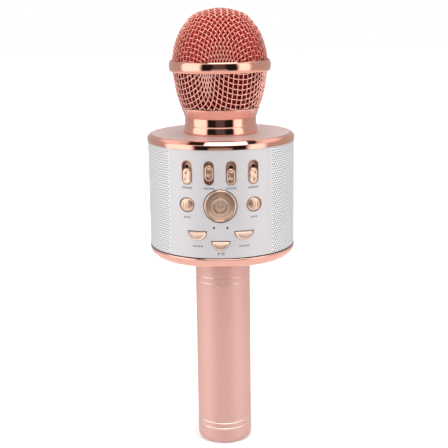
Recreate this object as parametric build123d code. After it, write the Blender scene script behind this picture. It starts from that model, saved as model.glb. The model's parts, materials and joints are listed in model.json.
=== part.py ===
from build123d import *
import math
import os

# Karaoke microphone: a tube handle, a drum with two loudspeakers and a control panel, and a round grille.
# All lengths are in millimetres. The Z axis runs along the microphone, from the flat end of the handle
# at z = 0 to the top of the grille. The control panel faces -Y, and +X is to its right.
# A "depth" is a distance in front of the Z axis, so depth d is the plane y = -d.

# Handle
HANDLE_R = 15.35
HANDLE_BORE_R = 12.6
HANDLE_TOP = 111.4
HANDLE_FLOOR = 2.0
HANDLE_END_ROUND = 3.5
GROOVE_HEIGHTS = (9.6, 12.8, 95.1, 98.4)
GROOVE_WIDTH = 0.8
GROOVE_DEPTH = 0.25
NECK_R = 13.9
NECK_TOP = 118.6

# Drum
DRUM_R = 40.0
SLEEVE_WALL = 1.0
SLEEVE_BOTTOM = 117.0
SLEEVE_TOP = 174.0
BOTTOM_CAP_R = 40.2
UNDERSIDE_R = 37.5
JOINT_GAP = 0.6
JOINT_R = 39.1
TOP_CAP_R = 40.45
TOP_CAP_FLAT_R = 37.6
TOP_CAP_SHOULDER = (39.35, 177.65)
TOP_CAP_CREASE = 176.4
TOP_CAP_TOP = 178.4
CAP_THICKNESS = 2.2
SPIGOT_R = 38.9
SPIGOT_WALL = 1.5
SPIGOT_LENGTH = 2.0

# Inside the drum
DECK_R = 38.3
DECK_THICKNESS = 2.0
LOWER_DECK = 120.0
UPPER_DECK = 169.0
DECK_FLAT = 25.3
WIRE_HOLE_R = 8.0
POST = 6.0
POST_X = 12.5
POST_Y = 22.4
BAFFLE_X = (28.5, 30.0)
BAFFLE_HALF = 22.0
BOARD_THICKNESS = 1.6
BOARD_FRONT = 27.0
BOARD_SIZE = (52.0, 50.0)
BOARD_MIDDLE = 145.5
PORT_BOARD_SIZE = (34.0, 46.0)
SCREW_HEIGHTS = (136.0, 157.5)
SCREW_X = 11.5

# Loudspeakers
SPEAKER_Z = 145.5
SPEAKER_R = 20.0
SPEAKER_THROAT_R = 16.6
CLOTH_R = (38.45, 38.85)
CLOTH_Z = (120.2, 171.2)
CLOTH_ANGLE = 90.0

# Slider controls
SLIDER_XS = (-17.25, -5.75, 5.75, 17.25)
SLIDER_RESTS = (-1.8, 0.0, -1.8, -1.8)
SLOT_Z = 162.2
SLOT_SIZE = (12.85, 5.45)
TRAY_SIZE = (12.75, 5.35)
TRAY_WALL = 0.28
TRAY_OUT_R = 40.12
TRAY_FLOOR_R = 38.0
TRAY_BACK_R = 37.0
KNOB_SIZE = (8.4, 4.5)
KNOB_OUT_R = 40.85
STEM_SIZE = (1.4, 2.4)
STEM_TIP = 29.4
FLOOR_SLOT = (7.2, 1.8)
POT_SIZE = (5.0, 3.5, 13.6)

# Buttons
POWER_Z = 144.9
POWER_R = 8.6
POWER_FACE = 40.35
SKIP_X = 17.5
SKIP_Z = 145.1
SKIP_R = 3.65
SKIP_DOME_R = 9.0
HALF_R = 4.85
HALF_X = 12.2
HALF_Z = 131.1
MIDDLE_HALF_Z = 126.0
BUTTON_GAP = 0.15
STEM_END = 32.1
STEM_R = 1.5
LUG_HALF = 1.5
LUG_REACH = 1.2
LUG_THICKNESS = 1.0
LED_X = 3.5
LED_Z = 133.3
LED_R = 0.55
SWITCH = 4.5

# Ports on the back
PORT_PLATE = (24.0, 39.0)
USB_Z = 157.0
CARD_Z = 148.6
JACK_Z = 141.0
CHARGE_Z = 133.0

# Neck and head
COLLAR_BORE_R = 14.2
COLLAR_SEAT_R = 19.0
COLLAR_SEAT_Z = 188.2
COLLAR_TOP = 192.2
BASKET_WALL = 0.9
BAND = (211.7, 217.5)
BAND_R = 27.7
BAND_EDGE_R = 27.1
BAND_SEAT_R = 26.35
BAND_WEB_R = 24.9
TOP = 245.0
BASKET_OUTLINE = [(21.5, 192.3), (23.6, 198.6), (25.0, 206.0), (26.1, 213.7)]
DOME_OUTLINE = [(26.15, 215.5), (25.3, 222.2), (22.6, 230.7), (18.6, 237.0), (12.7, 242.3), (0.0, TOP)]
FOAM_GAP = 0.2
FOAM_THICKNESS = 2.6


def lathe(edges):
    """Turn a closed outline in the XZ plane, where X is the radius, into a solid of revolution about Z."""
    return revolve(make_face(edges), Axis.Z)


def turned(points):
    """Turn a closed outline of straight lines, given as (radius, height) corners, about Z."""
    corners = [(r, 0, z) for r, z in points]
    return lathe(Polyline(*corners, close=True))


def tube(outer, inner, bottom, top):
    """A plain round tube on the Z axis."""
    return turned([(inner, bottom), (outer, bottom), (outer, top), (inner, top)])


def rod(radius, bottom, top):
    """A plain round bar on the Z axis."""
    return Pos(0, 0, bottom) * Cylinder(radius, top - bottom, align=(Align.CENTER, Align.CENTER, Align.MIN))


def prism(outline, x, z, back, front):
    """Push a front-view outline out from depth back to depth front."""
    return extrude(Plane.XZ.offset(back) * Pos(x, z, 0) * outline, front - back)


def drum(radius):
    """A round bar as tall as the drum, used to cut shapes that follow its surface."""
    return rod(radius, SLEEVE_BOTTOM - 5, SLEEVE_TOP + 5)


def block(x, y, z, size_x, size_y, size_z):
    """A box centred on a point."""
    return Pos(x, y, z) * Box(size_x, size_y, size_z)


def depth_at(x, radius):
    """How far in front of the axis a round surface lies, at a distance x to the side."""
    return math.sqrt(radius ** 2 - x ** 2)


def half_disc(radius):
    """A half circle whose straight side is on top."""
    return Circle(radius) & Pos(0, -radius) * Rectangle(4 * radius, 2 * radius)


# Handle and battery

def handle_barrel():
    outline = [(0, 0), (HANDLE_R - HANDLE_END_ROUND, 0)]
    corner = HANDLE_END_ROUND * (1 - math.sqrt(0.5))
    side = [(HANDLE_R, HANDLE_END_ROUND)]
    for z in GROOVE_HEIGHTS:
        half = GROOVE_WIDTH / 2
        side += [(HANDLE_R, z - half), (HANDLE_R - GROOVE_DEPTH, z), (HANDLE_R, z + half)]
    side += [(HANDLE_R, HANDLE_TOP), (NECK_R, HANDLE_TOP), (NECK_R, NECK_TOP), (0, NECK_TOP), (0, 0)]
    edges = Polyline(*[(r, 0, z) for r, z in outline])
    edges += ThreePointArc((HANDLE_R - HANDLE_END_ROUND, 0, 0), (HANDLE_R - corner, 0, corner),
                           (HANDLE_R, 0, HANDLE_END_ROUND))
    edges += Polyline(*[(r, 0, z) for r, z in side])
    return lathe(edges) - rod(HANDLE_BORE_R, HANDLE_FLOOR, NECK_TOP + 1)


def handle_lock_ring():
    ring = tube(18.0, NECK_R + 0.1, HANDLE_TOP + CAP_THICKNESS, HANDLE_TOP + CAP_THICKNESS + 4.0)
    for turn in range(6):
        ring -= Rot(0, 0, 60 * turn) * block(18.0, 0, 116, 2.4, 3.0, 8)
    return ring


def battery_holder():
    holder = rod(12.3, 14.0, 91.0) - rod(9.5, 16.5, 88.5)
    return holder - block(0, 9.4, 52.5, 18.8, 18.8, 72.0)


def battery_cell():
    return rod(9.2, 20.0, 84.0) + rod(3.0, 84.0, 85.0)


def battery_contacts():
    spring = turned([(0, 16.5), (7.5, 16.5), (7.5, 17.0), (5.5, 17.0), (3.5, 19.9), (0, 19.9)])
    tab = turned([(0, 85.1), (3.0, 85.1), (5.0, 88.0), (7.5, 88.0), (7.5, 88.5), (0, 88.5)])
    return Compound([spring, tab])


def protection_board():
    board = block(0, 10.4, 52.5, 10.8, 1.0, 40.0)
    return board + block(0, 9.6, 45.0, 4.0, 0.6, 5.0) + block(0, 9.6, 58.0, 3.0, 0.6, 3.0)


# Drum shells

def bottom_cap():
    low = HANDLE_TOP
    top = SLEEVE_BOTTOM - JOINT_GAP
    inner = SPIGOT_R - SPIGOT_WALL
    rim = TangentArc((BOTTOM_CAP_R, 0, top), (UNDERSIDE_R, 0, low), tangent=(0, 0, -1))
    rest = Polyline(*[(r, 0, z) for r, z in [
        (BOTTOM_CAP_R, top), (JOINT_R, top), (JOINT_R, SLEEVE_BOTTOM), (SPIGOT_R, SLEEVE_BOTTOM),
        (SPIGOT_R, SLEEVE_BOTTOM + SPIGOT_LENGTH), (inner, SLEEVE_BOTTOM + SPIGOT_LENGTH),
        (inner, low + CAP_THICKNESS), (NECK_R + 0.1, low + CAP_THICKNESS), (NECK_R + 0.1, low),
        (UNDERSIDE_R, low)]])
    return lathe(rim + rest)


def top_cap():
    low = SLEEVE_TOP
    inner = SPIGOT_R - SPIGOT_WALL
    flat_edge = (TOP_CAP_FLAT_R, 0, TOP_CAP_TOP)
    middle = (TOP_CAP_SHOULDER[0], 0, TOP_CAP_SHOULDER[1])
    shoulder = ThreePointArc((TOP_CAP_R, 0, TOP_CAP_CREASE), middle, flat_edge)
    rest = Polyline(*[(r, 0, z) for r, z in [
        (TOP_CAP_FLAT_R, TOP_CAP_TOP), (15.9, TOP_CAP_TOP), (15.9, TOP_CAP_TOP - CAP_THICKNESS),
        (inner, TOP_CAP_TOP - CAP_THICKNESS), (inner, low - SPIGOT_LENGTH), (SPIGOT_R, low - SPIGOT_LENGTH),
        (SPIGOT_R, low), (40.3, low), (TOP_CAP_R, TOP_CAP_CREASE)]])
    return lathe(shoulder + rest)


def speaker_sleeve():
    sleeve = tube(DRUM_R, DRUM_R - SLEEVE_WALL, SLEEVE_BOTTOM, SLEEVE_TOP)
    for x in SLIDER_XS:
        sleeve -= prism(SlotOverall(*SLOT_SIZE, rotation=90), x, SLOT_Z, 30, 45)
    sleeve -= prism(Circle(POWER_R + BUTTON_GAP), 0, POWER_Z, 30, 45)
    for x in (-SKIP_X, SKIP_X):
        sleeve -= prism(Circle(SKIP_R + BUTTON_GAP), x, SKIP_Z, 25, 45)
    for x, z in ((-HALF_X, HALF_Z), (HALF_X, HALF_Z), (0, MIDDLE_HALF_Z)):
        sleeve -= prism(Pos(0, BUTTON_GAP) * half_disc(HALF_R + BUTTON_GAP), x, z, 30, 45)
    for x in (-LED_X, LED_X):
        sleeve -= prism(Circle(LED_R + 0.05), x, LED_Z, 30, 45)
    opening = RectangleRounded(PORT_PLATE[0] + 0.2, PORT_PLATE[1] + 0.2, 3.1)
    return sleeve - prism(opening, 0, BOARD_MIDDLE, -45, -30)


# Chassis, boards and screws

def deck(height):
    plate = tube(DECK_R, WIRE_HOLE_R, height, height + DECK_THICKNESS)
    return plate & block(0, 0, height, 100, 2 * DECK_FLAT, 10)


def posts():
    return [(x, y) for x in (-POST_X, POST_X) for y in (-POST_Y, POST_Y)]


def chassis_lower():
    low = LOWER_DECK + DECK_THICKNESS
    middle = (low + UPPER_DECK) / 2
    body = deck(LOWER_DECK)
    for x, y in posts():
        body += block(x, y, middle, POST, POST, UPPER_DECK - low)
        body -= Pos(x, y) * rod(1.05, UPPER_DECK - 10, UPPER_DECK + 1)
    near, far = BAFFLE_X
    for side in (-1, 1):
        wall = block(side * (near + far) / 2, 0, middle, far - near, 2 * BAFFLE_HALF, UPPER_DECK - low)
        throat = rod(SPEAKER_THROAT_R + 0.9, near - 5, far + 5)
        body += wall - Pos(0, 0, SPEAKER_Z) * Rot(0, 90 * side, 0) * throat
    for x in (-SCREW_X, SCREW_X):
        for z in SCREW_HEIGHTS:
            body -= prism(Circle(1.0), x, z, 20.5, 26)
            body -= prism(Circle(1.0), x, z, -26, -20.5)
    return body


def chassis_upper():
    plate = deck(UPPER_DECK)
    for x, y in posts():
        plate -= Pos(x, y) * rod(1.2, UPPER_DECK - 1, UPPER_DECK + 4)
    return plate


def deck_screws():
    top = UPPER_DECK + DECK_THICKNESS
    screw = rod(2.0, top, top + 1.2) + rod(1.0, top - 9, top)
    screw -= rod(0.7, top + 0.6, top + 2)
    return Compound([Pos(x, y) * screw for x, y in posts()])


def board_screws():
    back = BOARD_FRONT
    head = Circle(1.9) - Circle(0.6)
    screws = []
    for x in (-SCREW_X, SCREW_X):
        for z in SCREW_HEIGHTS:
            shank = prism(Circle(0.95), x, z, back - 6, back + 0.4)
            screws.append(prism(head, x, z, back, back + 1.2) + shank)
            shank = prism(Circle(0.95), x, z, -back - 0.4, -back + 6)
            screws.append(prism(head, x, z, -back - 1.2, -back) + shank)
    return Compound(screws)


def main_board():
    board = prism(Rectangle(*BOARD_SIZE), 0, BOARD_MIDDLE, BOARD_FRONT - BOARD_THICKNESS, BOARD_FRONT)
    for x in (-SCREW_X, SCREW_X):
        for z in SCREW_HEIGHTS:
            board -= prism(Circle(1.1), x, z, 20, 30)
    return board


def board_chips():
    back = BOARD_FRONT - BOARD_THICKNESS
    layout = [(0, 160, 9, 9), (0, 144, 12, 16), (-21, 135, 6, 8), (21, 135, 6, 8)]
    return Compound([prism(Rectangle(w, h), x, z, back - 1.4, back) for x, z, w, h in layout])


def slide_pots():
    width, depth, height = POT_SIZE
    front = BOARD_FRONT + depth
    pots = []
    for x in SLIDER_XS:
        body = prism(Rectangle(width, height), x, SLOT_Z, BOARD_FRONT, front)
        pots.append(body - prism(SlotOverall(*FLOOR_SLOT, rotation=90), x, SLOT_Z, front - 2.0, front + 1))
    return Compound(pots)


def button_places():
    """Where the stem of each button points: its name, x and z."""
    half = HALF_R * 0.45
    return [("power", 0, POWER_Z), ("previous", -SKIP_X, SKIP_Z), ("next", SKIP_X, SKIP_Z),
            ("left", -HALF_X, HALF_Z - half), ("right", HALF_X, HALF_Z - half),
            ("middle", 0, MIDDLE_HALF_Z - half)]


def tact_switches():
    switches = []
    for name, x, z in button_places():
        body = prism(Rectangle(SWITCH, SWITCH), x, z, BOARD_FRONT, BOARD_FRONT + 3.5)
        switches.append(body + prism(Circle(1.2), x, z, BOARD_FRONT + 3.5, BOARD_FRONT + 4.3))
    return Compound(switches)


def indicator_lights():
    lights = []
    for x in (-LED_X, LED_X):
        pipe = prism(Circle(LED_R), x, LED_Z, BOARD_FRONT, 39.5)
        lights.append(pipe + prism(Rectangle(2.6, 2.6), x, LED_Z, BOARD_FRONT, BOARD_FRONT + 2))
    return Compound(lights)


# Loudspeakers, drawn facing up and then laid on their side

def speaker_frame():
    return turned([(SPEAKER_THROAT_R, 31.6), (SPEAKER_R, 31.6), (SPEAKER_R, 30.0), (17.3, 30.0),
                   (10.4, 22.0),
                   (4.0, 22.0), (4.0, 23.0), (9.9, 23.0), (SPEAKER_THROAT_R, 30.8)])


def speaker_magnet():
    return turned([(0, 14.5), (10.6, 14.5), (11.0, 15.0), (11.0, 21.5), (10.6, 22.0), (0, 22.0)])


def speaker_cone():
    edges = []
    for drop in (0.0, 0.5):
        edges.append(ThreePointArc((16.5, 0, 31.2 - drop), (15.1, 0, 32.4 - drop), (13.7, 0, 31.2 - drop)))
        edges.append(Line((13.7, 0, 31.2 - drop), (5.0, 0, 26.2 - drop)))
        edges.append(TangentArc((0, 0, 27.5 - drop), (5.0, 0, 26.2 - drop), tangent=(1, 0, 0)))
    edges.append(Line((16.5, 0, 31.2), (16.5, 0, 30.7)))
    edges.append(Line((0, 0, 27.5), (0, 0, 27.0)))
    return lathe(edges)


def on_side(shape, side):
    """Lay an upward-facing speaker part on its side: side 1 faces +X, side -1 faces -X."""
    return Pos(0, 0, SPEAKER_Z) * Rot(0, 90 * side, 0) * shape


def speaker_cloth(side):
    inner, outer = CLOTH_R
    bottom, top = CLOTH_Z
    corners = ((inner, 0, bottom), (outer, 0, bottom), (outer, 0, top), (inner, 0, top))
    section = make_face(Polyline(*corners, close=True))
    start = -CLOTH_ANGLE / 2 if side > 0 else 180 - CLOTH_ANGLE / 2
    return Rot(0, 0, start) * revolve(section, Axis.Z, CLOTH_ANGLE)


# Sliders

def slider_tray(x):
    shell = drum(TRAY_OUT_R) - drum(TRAY_BACK_R)
    outer = prism(SlotOverall(*TRAY_SIZE, rotation=90), x, SLOT_Z, 28, 45) & shell
    inside = SlotOverall(TRAY_SIZE[0] - 2 * TRAY_WALL, TRAY_SIZE[1] - 2 * TRAY_WALL, rotation=90)
    room = prism(inside, x, SLOT_Z, 28, 45)
    tray = outer - (room - drum(TRAY_FLOOR_R))
    return tray - prism(SlotOverall(*FLOOR_SLOT, rotation=90), x, SLOT_Z, 28, 45)


def slider_knob(x, rest):
    z = SLOT_Z + rest
    depth = drum(KNOB_OUT_R) - drum(TRAY_FLOOR_R + 0.15)
    cap = prism(SlotOverall(*KNOB_SIZE, rotation=90), x, z, 28, 45) & depth
    rim = cap.faces().sort_by(lambda face: abs(face.center()))[-1].edges()
    cap = fillet(rim, 0.9)
    lean = math.degrees(math.asin(x / DRUM_R))
    saddle = Pos(x, -depth_at(x, KNOB_OUT_R + 4.4), z) * Rot(0, 0, lean) * Rot(0, 90, 0) * Cylinder(5.0, 12)
    cap -= saddle
    root = depth_at(abs(x) + STEM_SIZE[0] / 2, TRAY_FLOOR_R + 0.4)
    return cap + prism(Rectangle(*STEM_SIZE), x, z, STEM_TIP, root)


# Buttons

def retained(body, x, bottom, top):
    """Add the two lugs behind the sleeve that keep a button from falling out."""
    front = depth_at(abs(x) + LUG_HALF, DRUM_R - SLEEVE_WALL - 0.4)
    for z in (bottom - LUG_REACH / 2, top + LUG_REACH / 2):
        body += prism(Rectangle(2 * LUG_HALF, LUG_REACH + 1.0), x, z, front - LUG_THICKNESS, front)
    return body


def stem(x, z, front):
    return prism(Circle(STEM_R), x, z, STEM_END, front)


def power_button():
    back = 36.2
    face = prism(Circle(POWER_R), 0, POWER_Z, back, POWER_FACE)
    face = chamfer(face.faces().sort_by(Axis.Y)[0].edges(), 0.8)
    face -= prism(Circle(7.5), 0, POWER_Z, POWER_FACE - 0.6, POWER_FACE + 1)
    return retained(face + stem(0, POWER_Z, back + 0.5), 0, POWER_Z - POWER_R, POWER_Z + POWER_R)


def power_plate():
    """The brushed plate of the power button, with a raised ring and a power symbol."""
    top = POWER_FACE - 0.05
    plate = prism(Circle(7.4), 0, POWER_Z, POWER_FACE - 0.6, top)
    symbol = (Circle(2.1) - Circle(1.65)) - Pos(0, 2.0) * Rectangle(1.5, 3.0)
    symbol += Pos(0, 1.7) * Rectangle(0.45, 1.9)
    return plate + prism((Circle(4.45) - Circle(4.05)) + symbol, 0, POWER_Z, top - 0.2, top + 0.12)


def skip_symbol(side):
    """Two chevrons that point to one side, and a bar."""
    chevron = Polyline((-0.9, 1.3), (0.35, 0), (-0.9, -1.3), (-0.45, -1.3), (0.8, 0), (-0.45, 1.3),
                       close=True)
    mark = make_face(chevron)
    symbol = Pos(-0.65, 0) * mark + Pos(0.5, 0) * mark + Pos(1.65, 0) * Rectangle(0.4, 2.4)
    return symbol if side > 0 else mirror(symbol, Plane.YZ)


def skip_button(side):
    x = side * SKIP_X
    lean = math.asin(SKIP_X / DRUM_R)
    reach = DRUM_R + 0.85 - SKIP_DOME_R
    middle = Pos(side * reach * math.sin(lean), -reach * math.cos(lean), SKIP_Z)
    cap = prism(Circle(SKIP_R), x, SKIP_Z, STEM_END, 45) & middle * Sphere(SKIP_DOME_R)
    mark = prism(skip_symbol(side), x, SKIP_Z, 36, 45) & middle * Sphere(SKIP_DOME_R + 0.14)
    return retained(cap + (mark - middle * Sphere(SKIP_DOME_R - 0.3)), x, SKIP_Z - SKIP_R, SKIP_Z + SKIP_R)


def half_button(x, z):
    back = depth_at(abs(x) + HALF_R, 38.0)
    cap = prism(half_disc(HALF_R), x, z, back, 45) & drum(40.75)
    front = cap.faces().sort_by(lambda face: face.center().Y)[0]
    cap = chamfer(front.edges(), 0.45)
    return retained(cap + stem(x, z - HALF_R * 0.45, back + 0.5), x, z - HALF_R, z)


# Ports on the back, whose openings face +Y

def back_prism(outline, x, z, inner, outer):
    return prism(outline, x, z, -outer, -inner)


def rear_port_plate():
    blank = back_prism(RectangleRounded(*PORT_PLATE, 3.0), 0, BOARD_MIDDLE, 28, 45)
    plate = blank & (drum(40.0) - drum(38.2))
    plate -= back_prism(Rectangle(13.4, 6.0), 0, USB_Z, 28, 45)
    plate -= back_prism(Rectangle(12.4, 1.8), 0, CARD_Z, 28, 45)
    plate -= back_prism(Circle(3.0), 0, JACK_Z, 28, 45)
    return plate - back_prism(RectangleRounded(8.0, 3.2, 0.8), 0, CHARGE_Z, 28, 45)


def port_board():
    width, height = PORT_BOARD_SIZE
    rear = BOARD_FRONT - BOARD_THICKNESS
    board = back_prism(Rectangle(width, height), 0, BOARD_MIDDLE, rear, BOARD_FRONT)
    for x in (-SCREW_X, SCREW_X):
        for z in SCREW_HEIGHTS:
            board -= back_prism(Circle(1.1), x, z, 20, 30)
    return board


def usb_socket():
    shell = back_prism(Rectangle(13.2, 5.8), 0, USB_Z, BOARD_FRONT, 39.3)
    shell -= back_prism(Rectangle(12.2, 4.9), 0, USB_Z, 29.3, 40)
    return shell + back_prism(Pos(0, 0.4) * Rectangle(11.2, 1.9), 0, USB_Z, 29.0, 38.5)


def card_slot():
    body = back_prism(Rectangle(14.0, 2.6), 0, CARD_Z, BOARD_FRONT, 37.0)
    return body - back_prism(Rectangle(11.4, 1.0), 0, CARD_Z, 28.5, 38)


def audio_jack():
    body = back_prism(Rectangle(7.0, 6.6), 0, JACK_Z, BOARD_FRONT, 37.0)
    body += back_prism(Circle(2.9), 0, JACK_Z, 36.5, 39.9)
    return body - back_prism(Circle(1.8), 0, JACK_Z, 28.5, 41)


def charging_socket():
    body = back_prism(RectangleRounded(7.8, 3.0, 0.7), 0, CHARGE_Z, BOARD_FRONT, 39.0)
    body -= back_prism(RectangleRounded(7.0, 2.2, 0.5), 0, CHARGE_Z, 34.5, 40)
    return body + back_prism(Rectangle(4.6, 0.6), 0, CHARGE_Z, 34.0, 38.2)


# Neck and head

def neck_collar():
    return turned([(COLLAR_BORE_R, 172.4), (15.8, 172.4), (15.8, TOP_CAP_TOP), (19.9, TOP_CAP_TOP),
                   (20.1, 178.6),
                   (20.1, 182.5), (19.5, 183.5), (19.5, 187.0), (19.75, 187.3), (20.5, 189.9),
                   (21.3, 191.9), (21.3, COLLAR_TOP), (COLLAR_SEAT_R, COLLAR_TOP),
                   (COLLAR_SEAT_R, COLLAR_SEAT_Z), (COLLAR_BORE_R, COLLAR_SEAT_Z)])


def collar_nut():
    ring = tube(20.0, 15.9, 172.5, TOP_CAP_TOP - CAP_THICKNESS)
    for turn in range(6):
        ring -= Rot(0, 0, 60 * turn) * block(20.0, 0, 174, 2.4, 3.0, 8)
    return ring


def grille_base_ring():
    return turned([(17.3, COLLAR_SEAT_Z), (18.9, COLLAR_SEAT_Z), (18.9, COLLAR_TOP + 0.05),
                   (20.5, COLLAR_TOP + 0.05),
                   (20.5, 193.1), (17.3, 193.1)])


def shell(outline, inset, wall):
    """A turned shell between a smooth curve moved in by inset and the same curve moved in further by wall."""
    def curve(offset):
        return Spline(*[(r - offset, 0, z) if r > 0 else (0, 0, z - offset) for r, z in outline])
    outer = curve(inset)
    inner = curve(inset + wall)
    ends = Polyline(outer @ 0, inner @ 0) + Polyline(outer @ 1, inner @ 1)
    return lathe(outer + inner + ends)


def grille_basket():
    return shell(BASKET_OUTLINE, 0, BASKET_WALL)


def dome_shell(inset, wall, bottom):
    """A closed dome between two curves that follow the grille, cut off level at its open end."""
    def solid(offset):
        side = [(r - offset, 0, z) for r, z in DOME_OUTLINE if r > 0]
        crown = (0, 0, TOP - offset)
        curve = Spline(*side, crown, tangents=[(0, 0, 1), (-1, 0, 0)])
        floor = side[0][2]
        return lathe(curve + Polyline(crown, (0, 0, floor), side[0]))
    dome = solid(inset) - solid(inset + wall)
    return dome - rod(50, 200, bottom) if bottom > DOME_OUTLINE[0][1] else dome


def grille_dome():
    return dome_shell(0, BASKET_WALL, DOME_OUTLINE[0][1])


def grille_band():
    low, high = BAND
    middle = (low + high) / 2
    outer = ThreePointArc((BAND_EDGE_R, 0, low), (BAND_R, 0, middle), (BAND_EDGE_R, 0, high))
    rest = Polyline(*[(r, 0, z) for r, z in [
        (BAND_EDGE_R, high), (BAND_SEAT_R, high), (BAND_SEAT_R, middle + 0.8), (BAND_WEB_R, middle + 0.8),
        (BAND_WEB_R, middle - 0.8), (BAND_SEAT_R, middle - 0.8), (BAND_SEAT_R, low), (BAND_EDGE_R, low)]])
    return lathe(outer + rest)


def foam_dome():
    return dome_shell(BASKET_WALL + FOAM_GAP + 0.3, FOAM_THICKNESS, 216.0)


def foam_basket():
    low = BASKET_WALL + FOAM_GAP
    outline = [(r, z) for r, z in BASKET_OUTLINE]
    foam = shell(outline, low, FOAM_THICKNESS)
    return foam - rod(50, 190, 193.4) - rod(50, 213.3, 220)


def capsule_base():
    return turned([(6.0, COLLAR_SEAT_Z), (17.1, COLLAR_SEAT_Z), (17.1, 190.2), (6.0, 190.2)])


def capsule_post():
    return turned([(5.0, 186.0), (5.9, 186.0), (5.9, 190.2), (8.0, 190.2), (8.0, 191.4), (5.9, 191.4),
                   (5.9, 199.0),
                   (5.0, 199.0)])


def capsule_mount():
    return turned([(0, 199.0), (10.0, 199.0), (12.5, 201.0), (12.5, 205.0), (9.6, 205.0), (9.6, 202.0),
                   (0, 202.0)])


def capsule():
    return turned([(0, 202.0), (9.5, 202.0), (9.5, 215.0), (9.0, 215.6), (0, 215.6)])


def capsule_cover():
    cover = tube(9.2, 8.4, 215.6, 217.0) + rod(8.6, 216.6, 217.2)
    for turn in range(6):
        cover -= Rot(0, 0, 60 * turn) * Pos(5.0, 0) * rod(1.3, 216, 218)
    return cover


def every_part():
    parts = {
        "handle_barrel": handle_barrel(),
        "handle_lock_ring": handle_lock_ring(),
        "battery_holder": battery_holder(),
        "battery_cell": battery_cell(),
        "battery_contacts": battery_contacts(),
        "protection_board": protection_board(),
        "bottom_cap": bottom_cap(),
        "top_cap": top_cap(),
        "speaker_sleeve": speaker_sleeve(),
        "chassis_lower": chassis_lower(),
        "chassis_upper": chassis_upper(),
        "deck_screws": deck_screws(),
        "board_screws": board_screws(),
        "main_board": main_board(),
        "board_chips": board_chips(),
        "slide_pots": slide_pots(),
        "tact_switches": tact_switches(),
        "indicator_lights": indicator_lights(),
        "power_button": power_button(),
        "power_plate": power_plate(),
        "previous_button": skip_button(-1),
        "next_button": skip_button(1),
        "left_button": half_button(-HALF_X, HALF_Z),
        "right_button": mirror(half_button(-HALF_X, HALF_Z), Plane.YZ),
        "middle_button": half_button(0, MIDDLE_HALF_Z),
        "rear_port_plate": rear_port_plate(),
        "port_board": port_board(),
        "usb_socket": usb_socket(),
        "card_slot": card_slot(),
        "audio_jack": audio_jack(),
        "charging_socket": charging_socket(),
        "neck_collar": neck_collar(),
        "collar_nut": collar_nut(),
        "grille_base_ring": grille_base_ring(),
        "grille_basket": grille_basket(),
        "grille_band": grille_band(),
        "grille_dome": grille_dome(),
        "foam_basket": foam_basket(),
        "foam_dome": foam_dome(),
        "capsule_base": capsule_base(),
        "capsule_post": capsule_post(),
        "capsule_mount": capsule_mount(),
        "capsule": capsule(),
        "capsule_cover": capsule_cover(),
    }
    for number, (x, rest) in enumerate(zip(SLIDER_XS, SLIDER_RESTS), start=1):
        parts[f"slider_tray_{number}"] = slider_tray(x)
        parts[f"slider_knob_{number}"] = slider_knob(x, rest)
    for side, name in ((-1, "left"), (1, "right")):
        parts[f"speaker_frame_{name}"] = on_side(speaker_frame(), side)
        parts[f"speaker_cone_{name}"] = on_side(speaker_cone(), side)
        parts[f"speaker_magnet_{name}"] = on_side(speaker_magnet(), side)
        parts[f"speaker_cloth_{name}"] = speaker_cloth(side)
    return parts


os.makedirs("parts", exist_ok=True)
for part_name, shape in every_part().items():
    export_step(shape, f"parts/{part_name}.step")
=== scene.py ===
import json
import math

import bmesh
import bpy
import numpy as np
from mathutils import Matrix, Vector


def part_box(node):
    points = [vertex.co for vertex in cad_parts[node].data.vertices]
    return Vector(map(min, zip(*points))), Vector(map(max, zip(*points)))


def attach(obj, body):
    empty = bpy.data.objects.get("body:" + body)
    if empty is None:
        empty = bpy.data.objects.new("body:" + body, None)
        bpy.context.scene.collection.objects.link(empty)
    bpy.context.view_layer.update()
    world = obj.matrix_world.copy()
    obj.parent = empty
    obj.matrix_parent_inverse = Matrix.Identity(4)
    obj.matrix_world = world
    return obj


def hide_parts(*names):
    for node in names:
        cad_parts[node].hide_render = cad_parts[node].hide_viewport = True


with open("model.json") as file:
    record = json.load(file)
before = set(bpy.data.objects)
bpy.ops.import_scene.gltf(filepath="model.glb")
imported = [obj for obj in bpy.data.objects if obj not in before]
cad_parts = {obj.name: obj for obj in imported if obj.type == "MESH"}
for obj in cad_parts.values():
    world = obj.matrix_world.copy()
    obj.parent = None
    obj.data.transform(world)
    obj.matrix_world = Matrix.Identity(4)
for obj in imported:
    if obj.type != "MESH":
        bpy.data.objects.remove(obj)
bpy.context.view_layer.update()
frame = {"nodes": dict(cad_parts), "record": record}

# Karaoke microphone. Lengths in this script are in millimetres, and new_piece() turns them into metres.
# The microphone stands along +Z, its controls face -Y, and angles round it are measured from -Y towards +X.
MM = 0.001
ROOT = "microphone"

# Handle
HANDLE_R = 15.35
HANDLE_TOP = 111.4
HANDLE_BORE_R = 12.6
HANDLE_END = 2.0
NECK_R = 13.9
NECK_TOP = 118.6
END_ROUND = 3.5
GROOVES = (9.6, 12.8, 95.1, 98.4)
GROOVE_HALF = 0.4
GROOVE_DEPTH = 0.25

# Drum
DRUM_R = 40.0
SLEEVE_WALL = 1.0
SLEEVE_BOTTOM = 117.0
SLEEVE_TOP = 174.0
DRUM_TOP = 178.4
JOINT_R = 39.1
CAP_R = 40.2
SPIGOT_R = 38.9
SPIGOT_BORE_R = 37.4
CAP_WALL = 2.2
FRONT_CUT = (-45, -25)
REAR_CUT = (25, 45)

# Perforated sides: their first angle, the angle between half pitches, and the holes
HOLE_START = 42.3
HOLE_STEP = 1.025
HOLE_COLUMNS = 88
HOLE_ROWS = 46
HOLE_R = 0.37
HOLE_SIDES = 12

# Speaker cloth
CLOTH_R = 38.65
CLOTH_BOTTOM = 120.2
CLOTH_TOP = 171.2
CLOTH_START = 45
CLOTH_SPAN = 90

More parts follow.
